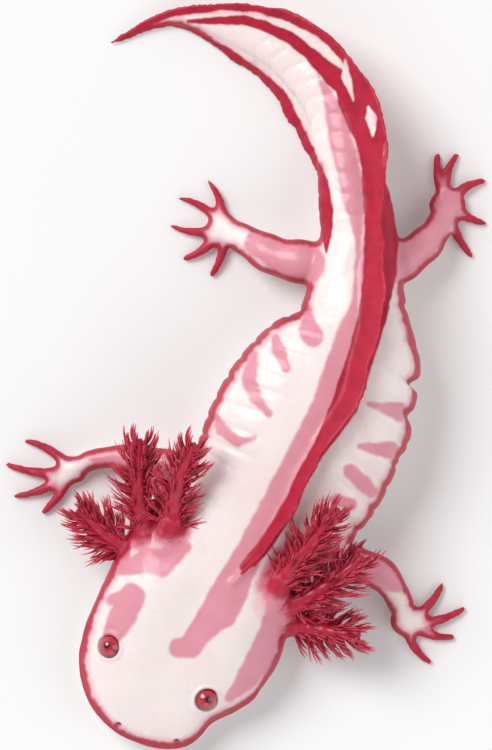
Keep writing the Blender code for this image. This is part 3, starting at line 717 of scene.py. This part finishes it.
def insideOutline(points):  # how far inside the outline seen from above each point lies, in millimetres
    cell = 0.4
    low = points[:, :2].min(axis=0) - 4 * cell
    at = np.floor((points[:, :2] - low) / cell).astype(int)
    filled = np.zeros(at.max(axis=0) + 6, bool)
    for dx in (-1, 0, 1):
        for dy in (-1, 0, 1):
            filled[at[:, 0] + dx, at[:, 1] + dy] = True
    grown = filled.copy()
    for step, axis in ((1, 0), (-1, 0), (1, 1), (-1, 1)):
        grown |= np.roll(filled, step, axis)
    empty = np.argwhere(grown & ~filled)
    _, far = nearest(nearTree(flat(low + (empty + 0.5) * cell)), flat(points[:, :2]))
    return np.maximum(far - 1.9 * cell, 0)


def markSkin(points, normals, s, back, across, limb, thin):
    def limit(kind, always):  # the underside stays pale, and marks fade out towards it
        shift, slope = markingsAndShade[kind]
        return np.where(always, 3.0, (normals[:, 2] + shift) * slope)

    seen = limit("seen", (thin > 0.5) | (back > 0.55 * read("top", s)))
    windows = streakField(markingsAndShade["windows"], points) - 12 * ease(across / 1.2 + 0.6)
    crimson = np.minimum(streakField(markingsAndShade["crimson"], points), -windows)
    # the fin of the back is red all over, up to where it becomes the tail's
    finRed = np.minimum((thin - 0.25) * 4, np.minimum(s - 53, 140 - s))
    crimson = np.maximum(crimson, finRed)
    # the pink field also carries the painted shade of the rib grooves
    pink = streakField(markingsAndShade["pink"], points) - 20 * limb
    pink = np.maximum(pink, streakField(markingsAndShade["limbPink"], points))
    width = markingsAndShade["rim"]
    rim = width["head"] + (width["trunk"] - width["head"]) * ease((s - 22) / 20)
    rim += (width["tail"] - width["trunk"]) * ease((s - 140) / 15)
    rim = rim + (width["limb"] - rim) * limb - insideOutline(points)
    return np.minimum(crimson, seen), np.minimum(pink, seen), np.minimum(rim, limit("rimSeen", thin > 0.5))


def limbFields(points, s, across):  # 1 on the legs, and 1 on the toes
    half = halfAt(s, across)
    limb, digits = np.zeros(len(points)), np.zeros(len(points))
    for leg in legs.values():
        line = legLine(leg, 60)
        tree = nearTree([p for p, _ in line])
        close = np.nonzero(np.hypot(*(points[:, :2] - line[30][0][:2]).T) < 45)[0]
        index, distance = nearest(tree, points[close])
        radius = np.array([line[k][1] for k in index])
        on = ease((radius * 1.9 - distance) / (radius * 0.5)) * ease((index - 10) / 6)
        on *= ease((np.abs(across[close]) - half[close] * 0.9) / 1.5)
        limb[close] = np.maximum(limb[close], on)
        toes, share = [], []
        for spot in leg["digits"]:
            toes += digitLine(leg, spot, 24)
            share += [k / 24 for k in range(25)]
        tree = nearTree(toes)
        fromFoot = np.hypot(*(points[:, :2] - leg["foot"]).T)
        end = np.nonzero(fromFoot < 26)[0]
        index, distance = nearest(tree, points[end])
        along = np.array(share)[index]
        toe = ease((3.2 - distance) / 1.2) * ease((along - 0.12) / 0.55)
        toe *= ease((7.5 - points[end, 2]) / 1.5)
        digits[end] = np.maximum(digits[end], toe)
        limb = np.where((fromFoot < 21) & (np.abs(across) > half * 1.25), 1.0, limb)
    return limb, digits


def addAttribute(mesh, name, values):
    mesh.attributes.new(name, "FLOAT", "POINT").data.foreach_set("value", values.astype(np.float32))


def finishObject(mesh, name):
    mesh.transform(Matrix.Scale(mm, 4) @ Matrix.Translation((*body["plan"], 0)))
    mesh.shade_smooth()
    return addObject(name, mesh)


def smoothOut(bm, verts, times):
    for _ in range(times):
        bmesh.ops.smooth_vert(bm, verts=verts, factor=0.5, use_axis_x=True, use_axis_y=True, use_axis_z=True)


def makeSkin():
    mesh = roughSkin()
    bm = bmesh.new()
    bm.from_mesh(mesh)
    bpy.data.meshes.remove(mesh)
    smoothOut(bm, bm.verts, skinMesh["smooth"])
    s, back, _ = bodyCoordinates(np.array([v.co for v in bm.verts]))
    onFin = (back > read("top", s) + 1.2) | ((-back > read("under", s) + 1.2) & (s > 148))
    smoothOut(bm, [vert for vert, on in zip(bm.verts, onFin) if on], skinMesh["finSmooth"])
    refineFace(bm)
    bm.normal_update()
    points = np.array([v.co for v in bm.verts])
    normals = np.array([v.normal for v in bm.verts])
    s, back, across = bodyCoordinates(points)
    limb, digits = limbFields(points, s, across)
    thin = finShare(s, back, 0.4, 146) * (1 - limb)
    move = carve(points, s, back, across, limb)
    faceMove, creaseShade = carveFace(points)
    crimson, pink, rim = markSkin(points, normals, s, back, across, limb, thin)
    points = points + normals * (move + faceMove)[:, None]
    points[:, 2] = np.maximum(points[:, 2], 0.01)
    for vert, point in zip(bm.verts, points):
        vert.co = point
    spots, shares = [], []
    for name in gills["stalks"]:
        spots += gillLine(name, 40)[:22]
        shares += [k / 40 for k in range(22)]
    index, far = nearest(nearTree(spots), points)
    flush = ease((np.array(shares)[index] - 0.02) / 0.24) * ease((8.0 - far) / 4.5)
    flush = np.maximum(np.maximum(flush, 0.36 * ease((7.0 - far) / 4)), digits)
    mesh = meshFrom(bm, "skin")
    for name, values in (("crimsonField", crimson), ("pinkField", pink), ("flush", flush), ("creaseShade", creaseShade),
                         ("rimField", rim), ("thin", thin)):
        addAttribute(mesh, name, values)
    skin = finishObject(mesh, "skin")
    mesh.calc_loop_triangles()
    tell(f"skin has {len(mesh.loop_triangles)} triangles")
    return skin


def filamentPattern():  # a straight tapering thread along +Z, bent into place for each filament
    rings, steps, sides = [], 7, 5
    turns = [tau * j / sides for j in range(sides)]
    for k in range(steps):
        t = k / (steps - 1)
        size = (1 - 0.62 * t) * (0.35 if k == steps - 1 else 1)
        rings.append([Vector((cos(turn) * size, sin(turn) * size, t)) for turn in turns])
    bm = loft(rings)
    bmesh.ops.triangulate(bm, faces=[f for f in bm.faces if len(f.verts) > 4])
    return meshFrom(bm, "filamentPattern")


def makeGill(name, pattern, draw):
    longest = gills["stalks"][name][3]
    line = gillLine(name, 36)
    radii = [evenly(gills["radii"], k / 36) * (0.94 + 0.05 * sin(k * 1.3)) for k in range(37)]
    bm = roundedTube(line, radii, 18)
    tip = [0.15] * len(bm.verts)
    ways = directions(line)
    start, clump, jitter = gills["start"], gills["clump"], gills["jitter"]
    for side, raised, share, count in gills["rows"]:
        for k in range(count):
            u = start + (0.99 - start) * (k + draw.uniform(*jitter["spot"])) / (count - 1)
            at = min(max(u, 0), 1) * 36
            i = min(int(at), 35)
            spot = line[i].lerp(line[i + 1], at - i)
            along = ways[i]
            across = along.cross(up).normalized()
            rise = across.cross(along)
            if k % clump == 0:  # neighbours lean together
                lean, push, swell = (draw.uniform(*spread) for spread in gills["clumps"].values())
            tilt = raised + lean + draw.uniform(*jitter["lean"])
            # the last filaments sweep forward over the tip
            sweep = 0.55 + 0.5 * raised + push + 0.5 * u**3 + 1.5 * u**14 + draw.uniform(*jitter["push"])
            size = share * longest * (0.5 + 0.62 * sin(pi * (0.16 + 0.72 * u))) * swell
            middle = (k % clump) / (clump - 1) - 0.5
            size *= (1 - 0.5 * abs(middle)) * draw.uniform(*jitter["size"])
            sweep -= 0.5 * middle
            out = (across * side * cos(tilt) + rise * sin(tilt)).normalized()
            end = spot + (out + along * sweep).normalized() * size - up * 0.1 * size
            bend = spot + out * size * 0.5 + along * size * 0.08
            end.z = min(max(end.z, gills["low"]), gills["high"])
            before = len(bm.verts)
            bm.from_mesh(pattern)
            bm.verts.ensure_lookup_table()
            thick = gills["thick"] * draw.uniform(*jitter["thick"])
            for vert in bm.verts[before:]:
                t = vert.co.z
                tip.append(t)
                way = bezier(spot, bend, end, t + 0.02) - bezier(spot, bend, end, t - 0.02)
                first = way.orthogonal().normalized()
                second = way.normalized().cross(first)
                vert.co = bezier(spot, bend, end, t) + (first * vert.co.x + second * vert.co.y) * thick
    for vert in bm.verts:
        vert.co.z = min(max(vert.co.z, 0.3), gills["high"] + 0.3)
    mesh = meshFrom(bm, name)
    addAttribute(mesh, "tip", np.array(tip))
    gill = finishObject(mesh, "gill" + name[4:].title().replace("_", ""))
    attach(gill, "root")
    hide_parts(name)
    return gill


def makeEye(which):
    centre, ahead = eyeFrame(which)
    bm = bmesh.new()
    bmesh.ops.create_uvsphere(bm, u_segments=56, v_segments=40, radius=eyes["radius"])
    radial = []
    for vert in bm.verts:
        out = hypot(vert.co.x, vert.co.y) / eyes["radius"]
        radial.append(out if vert.co.z > 0 else 2 - out)
        if vert.co.z > 0:
            vert.co.z += eyes["dome"] * max(0, 1 - (out / 0.7) ** 2)  # the cornea
    bm.transform(Matrix.Translation(centre) @ up.rotation_difference(ahead).to_matrix().to_4x4())
    mesh = meshFrom(bm, "eye")
    addAttribute(mesh, "radial", np.array(radial))
    eye = finishObject(mesh, "eye" + which.capitalize())
    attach(eye, "root")
    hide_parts("eye_" + which)
    return eye


# Shader helpers
def feed(tree, node, values):  # sets or links the inputs of a node, given by name or number
    for name, value in values.items():
        socket = node.inputs[name]
        if isinstance(value, bpy.types.NodeSocket):
            tree.links.new(value, socket)
        else:
            socket.default_value = (*value, 1) if socket.type == "RGBA" else value


def addNode(tree, kind, values=None, **settings):
    node = tree.nodes.new(kind)
    for name, value in settings.items():
        setattr(node, name, value)
    feed(tree, node, values or {})
    return node


def calc(tree, operation, first, second):
    return addNode(tree, "ShaderNodeMath", {0: first, 1: second}, operation=operation).outputs[0]


def mapRange(tree, value, low, high, toLow=0.0, toHigh=1.0, kind="SMOOTHSTEP"):
    values = {"Value": value, "From Min": low, "From Max": high, "To Min": toLow, "To Max": toHigh}
    return addNode(tree, "ShaderNodeMapRange", values, interpolation_type=kind).outputs["Result"]


def mixColour(tree, share, first, second):
    return addNode(tree, "ShaderNodeMix", {0: share, 6: first, 7: second}, data_type="RGBA").outputs[2]


def objectCoordinates(tree):
    return addNode(tree, "ShaderNodeTexCoord").outputs["Object"]


def noiseNode(tree, scale, detail=3):
    values = {"Vector": objectCoordinates(tree), "Scale": scale, "Detail": detail}
    return addNode(tree, "ShaderNodeTexNoise", values).outputs["Fac"]


def fieldOf(tree, name):
    return addNode(tree, "ShaderNodeAttribute", attribute_name=name).outputs["Fac"]


def newGroup(name, inputs, outputs):
    group = bpy.data.node_groups.new(name, "ShaderNodeTree")
    for label, value in inputs.items():
        group.interface.new_socket(label, in_out="INPUT", socket_type="NodeSocketFloat").default_value = value
    for label, kind in outputs.items():
        group.interface.new_socket(label, in_out="OUTPUT", socket_type=kind)
    return group, addNode(group, "NodeGroupInput").outputs, addNode(group, "NodeGroupOutput")


def makeMarkGroup():  # turns a distance in millimetres into a mark with a living, uneven edge
    inputs = {"Field": 0.0, "Wobble": 1.2, "Softness": 0.45}
    group, entry, leave = newGroup("skinMark", inputs, {"Mask": "NodeSocketFloat"})
    coarse = calc(group, "SUBTRACT", noiseNode(group, 260, 4), 0.5)
    field = calc(group, "ADD", entry["Field"], calc(group, "MULTIPLY", coarse, entry["Wobble"]))
    scaled = calc(group, "DIVIDE", field, entry["Softness"])
    feed(group, leave, {"Mask": mapRange(group, scaled, -1, 1)})
    return group


def makeWetGroup():  # pebbly relief and uneven gloss shared by skin and gills
    inputs = {"Grain": 900.0, "Relief": 0.35, "Low": 0.24, "High": 0.42}
    outputs = {"Roughness": "NodeSocketFloat", "Normal": "NodeSocketVector"}
    group, entry, leave = newGroup("wetSurface", inputs, outputs)
    grain = entry["Grain"]
    cells = {"Vector": objectCoordinates(group), "Scale": grain}
    cells = addNode(group, "ShaderNodeTexVoronoi", cells, feature="SMOOTH_F1").outputs["Distance"]
    height = calc(group, "ADD", noiseNode(group, grain, 4), calc(group, "MULTIPLY", cells, 0.6))
    bumped = {"Distance": 0.0003, "Height": height, "Strength": entry["Relief"]}
    spread = calc(group, "SUBTRACT", entry["High"], entry["Low"])
    gloss = calc(group, "MULTIPLY", noiseNode(group, 140), spread)
    feed(group, leave, {
        "Normal": addNode(group, "ShaderNodeBump", bumped).outputs["Normal"],
        "Roughness": calc(group, "ADD", entry["Low"], gloss),
    })
    return group


def newMaterial(name):
    material = bpy.data.materials.new(name)
    material.use_nodes = True
    return material, material.node_tree, material.node_tree.nodes["Principled BSDF"]


def placeGroup(tree, group, **values):
    return addNode(tree, "ShaderNodeGroup", values, node_tree=group).outputs


# the darkest tone is the painted shade of the mouth groove, the rings round the eyes and the nostrils
skinLook = {
    "pale": (0.90, 0.80, 0.785), "warm": (0.88, 0.68, 0.66), "pink": (0.745, 0.29, 0.375),
    "pinkDeep": (0.70, 0.20, 0.28), "creaseShadeTone": (0.40, 0.05, 0.07), "subsurface": 0.2, "coat": 0.34,
}
crimsonLook = {"light": (0.49, 0.008, 0.042), "dark": (0.38, 0.005, 0.028)}


def makeCrimsonGroup():  # the red tissue shared by the markings, the toes and the gills
    group, entry, leave = newGroup("crimsonTissue", {"Grain": 240.0}, {"Color": "NodeSocketColor"})
    share = mapRange(group, noiseNode(group, entry["Grain"], 5), 0.35, 0.75)
    feed(group, leave, {"Color": mixColour(group, share, crimsonLook["light"], crimsonLook["dark"])})
    return group


def makeSkinMaterial(markGroup, crimsonGroup, wetGroup):
    material, tree, shader = newMaterial("axolotlSkin")

    def mark(field, wobble, softness, strength):
        mask = placeGroup(tree, markGroup, Field=field, Wobble=wobble, Softness=softness)["Mask"]
        return calc(tree, "MULTIPLY", mask, strength)

    thin, rim = fieldOf(tree, "thin"), fieldOf(tree, "rimField")
    patchy = mapRange(tree, noiseNode(tree, 55, 4), 0.35, 0.7, 0, 0.4)
    colour = mixColour(tree, patchy, skinLook["pale"], skinLook["warm"])
    colour = mixColour(tree, calc(tree, "MULTIPLY", thin, 0.35), colour, skinLook["warm"])
    # pink marks, pink bars of painted shade in the rib grooves, and the blush along the edges, the toes and
    # the roots of the gills
    pinkTone = mixColour(tree, noiseNode(tree, 190, 5), skinLook["pink"], skinLook["pinkDeep"])
    colour = mixColour(tree, mark(fieldOf(tree, "pinkField"), 1.5, 0.6, 0.9), colour, pinkTone)
    colour = mixColour(tree, mark(calc(tree, "ADD", rim, 0.7), 2.0, 1.1, 0.7), colour, pinkTone)
    mottle = mapRange(tree, noiseNode(tree, 320, 4), 0.2, 0.6, 0.7, 1)
    flush = calc(tree, "MULTIPLY", fieldOf(tree, "flush"), mottle)
    colour = mixColour(tree, mapRange(tree, flush, 0.0, 0.5), colour, pinkTone)
    speck = mapRange(tree, noiseNode(tree, 1500, 2), 0.62, 0.72, 0, 0.16)
    colour = mixColour(tree, speck, colour, skinLook["pinkDeep"])
    # crimson bands, edges, toes and gill roots
    red = mark(fieldOf(tree, "crimsonField"), 1.0, 0.35, 1.0)
    red = calc(tree, "MAXIMUM", red, mark(rim, 1.3, 0.5, 0.93))
    red = calc(tree, "MAXIMUM", red, mapRange(tree, flush, 0.4, 0.95, 0, 0.97))
    colour = mixColour(tree, red, colour, placeGroup(tree, crimsonGroup)["Color"])
    # painted shade: the mouth groove, the rings round the eyes and the nostrils are darkened towards a dark
    # red
    creaseShade = mapRange(tree, fieldOf(tree, "creaseShade"), 0.15, 0.9, 0, 0.92)
    wet = placeGroup(tree, wetGroup, Grain=820.0, Relief=0.3, Low=0.25, High=0.45)
    # the red parts and the fins are less glossy, so that they keep their colour where they turn away
    matter = calc(tree, "MAXIMUM", red, thin)
    feed(tree, shader, {
        "Base Color": mixColour(tree, creaseShade, colour, skinLook["creaseShadeTone"]),
        "Roughness": calc(tree, "ADD", wet["Roughness"], calc(tree, "MULTIPLY", matter, 0.15)),
        "Normal": wet["Normal"],
        "Coat Weight": mapRange(tree, matter, 0, 1, skinLook["coat"], 0.07),
        "Coat Roughness": 0.16,
        "Specular IOR Level": 0.28,
        "Subsurface Weight": skinLook["subsurface"],
        "Subsurface Radius": (1.0, 0.35, 0.25),
        "Subsurface Scale": 0.0013,
    })
    return material


gillLook = {"tip": (0.68, 0.04, 0.10), "dark": (0.32, 0.006, 0.026)}


def makeGillMaterial(crimsonGroup, wetGroup):
    material, tree, shader = newMaterial("gillFeather")
    toTip = mapRange(tree, fieldOf(tree, "tip"), 0.5, 1.0)
    colour = mixColour(tree, toTip, placeGroup(tree, crimsonGroup)["Color"], gillLook["tip"])
    spots = mapRange(tree, noiseNode(tree, 800), 0.55, 0.75, 0, 0.5)
    wet = placeGroup(tree, wetGroup, Grain=1100.0, Relief=0.3, Low=0.28, High=0.5)
    feed(tree, shader, {
        "Base Color": mixColour(tree, spots, colour, gillLook["dark"]),
        "Roughness": wet["Roughness"],
        "Normal": wet["Normal"],
        "Coat Weight": 0.25,
        "Subsurface Weight": 0.15,
        "Subsurface Radius": (1.0, 0.2, 0.2),
        "Subsurface Scale": 0.001,
    })
    return material


eyeLook = {
    "pupil": (0.045, 0.001, 0.004), "iris": (0.46, 0.010, 0.036),
    "ring": (0.22, 0.004, 0.015), "gold": (0.66, 0.08, 0.07),
}


def makeEyeMaterial():
    material, tree, shader = newMaterial("rubyEye")
    radial = fieldOf(tree, "radial")
    streaks = noiseNode(tree, 1400, 4)
    iris = mixColour(tree, mapRange(tree, streaks, 0.45, 0.8, 0, 0.5), eyeLook["iris"], eyeLook["gold"])
    colour = mixColour(tree, mapRange(tree, radial, 0.22, 0.30), eyeLook["pupil"], iris)
    feed(tree, shader, {
        "Base Color": mixColour(tree, mapRange(tree, radial, 0.62, 0.80), colour, eyeLook["ring"]),
        "Roughness": mapRange(tree, streaks, 0.0, 1.0, 0.05, 0.12),
        "Coat Weight": 1.0,
        "Coat Roughness": 0.02,
    })
    return material


def makeFloor():
    bm = bmesh.new()
    bmesh.ops.create_grid(bm, x_segments=8, y_segments=8, size=2.5)
    floor = addObject("floor", meshFrom(bm, "floor"))
    material, tree, shader = newMaterial("paleFloor")
    tone = mixColour(tree, noiseNode(tree, 3), (0.90, 0.90, 0.90), (0.92, 0.92, 0.92))
    feed(tree, shader, {"Base Color": tone, "Roughness": 0.9})
    floor.data.materials.append(material)


studio = {
    "lights": [  # where the light comes from, how wide the source looks in degrees, strength
        ((-0.55, 0.45, 0.75), 34, 2.1), ((0.65, -0.10, 0.60), 45, 0.55), ((0.05, -0.75, 0.45), 45, 0.35),
    ],
    "sky": (0.0, 0.7, 1.0, 0.30),  # lowest and highest direction, and the strength at each
    "distance": 3.0, "pixel": 0.27, "frame": (492, 750), "height": 0.012,
}


def makeSky():  # white near the horizon and dimmer overhead
    world = bpy.data.worlds.new("softSky")
    world.use_nodes = True
    tree = world.node_tree
    direction = {"Vector": addNode(tree, "ShaderNodeTexCoord").outputs["Generated"]}
    rise = addNode(tree, "ShaderNodeSeparateXYZ", direction).outputs["Z"]
    strength = mapRange(tree, rise, *studio["sky"], "LINEAR")
    feed(tree, tree.nodes["Background"], {"Color": (1, 1, 1), "Strength": strength})
    return world


def makeStudio():
    scene = bpy.context.scene
    scene.world = makeSky()
    for k, (spot, wide, power) in enumerate(studio["lights"]):
        lamp = bpy.data.lights.new(f"softbox{k}", "SUN")
        lamp.angle = radians(wide)
        lamp.energy = power
        holder = addObject(f"softbox{k}", lamp)
        holder.location = spot
        holder.rotation_euler = (-Vector(spot)).to_track_quat("-Z", "Y").to_euler()
    lens = bpy.data.cameras.new("topCamera")
    lens.sensor_fit = "VERTICAL"
    lens.sensor_height = 36.0
    tall = studio["frame"][1] * studio["pixel"] * mm
    lens.lens = lens.sensor_height * studio["distance"] / tall
    lens.clip_end = 20
    camera = addObject("topCamera", lens)
    camera.location = (body["plan"][0] * mm, body["plan"][1] * mm, studio["height"] + studio["distance"])
    scene.camera = camera
    scene.view_settings.view_transform = "Standard"


tell("studio")
makeStudio()
makeFloor()
markGroup, crimsonGroup, wetGroup = makeMarkGroup(), makeCrimsonGroup(), makeWetGroup()
tell("skin")
skin = makeSkin()
skin.data.materials.append(makeSkinMaterial(markGroup, crimsonGroup, wetGroup))
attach(skin, "root")
flesh = [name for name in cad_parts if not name.startswith(("eye_", "gill_"))]
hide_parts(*flesh)
tell("gills")
pattern = filamentPattern()
gillMaterial = makeGillMaterial(crimsonGroup, wetGroup)
drawGills = random.Random(gills["seed"])
for name in gills["stalks"]:
    makeGill(name, pattern, drawGills).data.materials.append(gillMaterial)
tell("eyes")
eyeMaterial = makeEyeMaterial()
for which in ("left", "right"):
    makeEye(which).data.materials.append(eyeMaterial)
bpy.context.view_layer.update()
tell("done")
